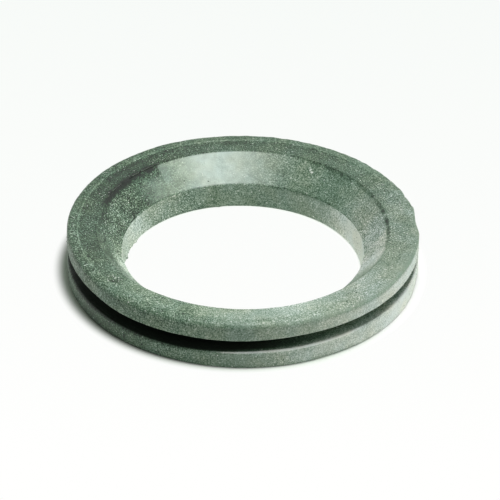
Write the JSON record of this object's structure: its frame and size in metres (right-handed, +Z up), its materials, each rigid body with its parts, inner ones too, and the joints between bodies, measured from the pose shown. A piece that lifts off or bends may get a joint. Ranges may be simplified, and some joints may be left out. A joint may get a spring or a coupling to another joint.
{
  "type": "sealing ring",
  "caption": "Round moulded rubber ring with a square groove round its rim and a funnel that narrows to a plain bore, for sealing a flush pipe in a thin wall.",
  "frame": {"origin": "centre of the flat foot, on the ring's axis", "axes": "+Z up the ring's axis from the foot to the funnel's mouth; +X close to the start of the worn stretch of the rim, which runs on towards +Y"},
  "size_m": [0.065, 0.065, 0.0094],
  "materials": {
    "moulded_rubber": "dull black rubber under a grey-green bloom, clean and black inside the groove"
  },
  "bodies": {
    "root": {"sealing_ring": "moulded_rubber"}
  },
  "joints": []
}
